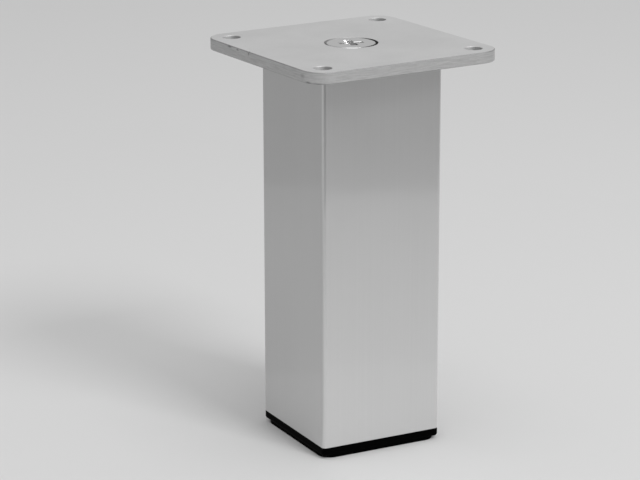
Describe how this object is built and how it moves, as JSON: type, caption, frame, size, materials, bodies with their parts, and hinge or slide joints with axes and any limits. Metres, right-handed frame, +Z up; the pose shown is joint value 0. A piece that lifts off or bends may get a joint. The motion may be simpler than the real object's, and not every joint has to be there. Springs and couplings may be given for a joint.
{
  "type": "square table leg",
  "caption": "Short square furniture leg: satin aluminium tube, steel mounting plate held by a countersunk screw, black push-in foot.",
  "frame": {"origin": "middle of the foot's sole, on the floor", "axes": "+Z up along the tube towards the mounting plate; X and Y along the plate's sides; -Y is the side that the picture shows widest"},
  "size_m": [0.08, 0.08, 0.15],
  "materials": {
    "plate_steel": "matt rolled steel, tumbled after stamping, rough cut edges",
    "zinc_plate": "bright zinc plate",
    "anodised_aluminium": "satin natural anodised, fine lines along the tube",
    "black_plastic": "moulded black plastic, faint grain"
  },
  "bodies": {
    "root": {"mounting_plate": "plate_steel", "plate_screw": "zinc_plate", "top_plug": "black_plastic", "captive_nut": "zinc_plate", "leg_tube": "anodised_aluminium", "foot_glide": "black_plastic"}
  },
  "joints": []
}
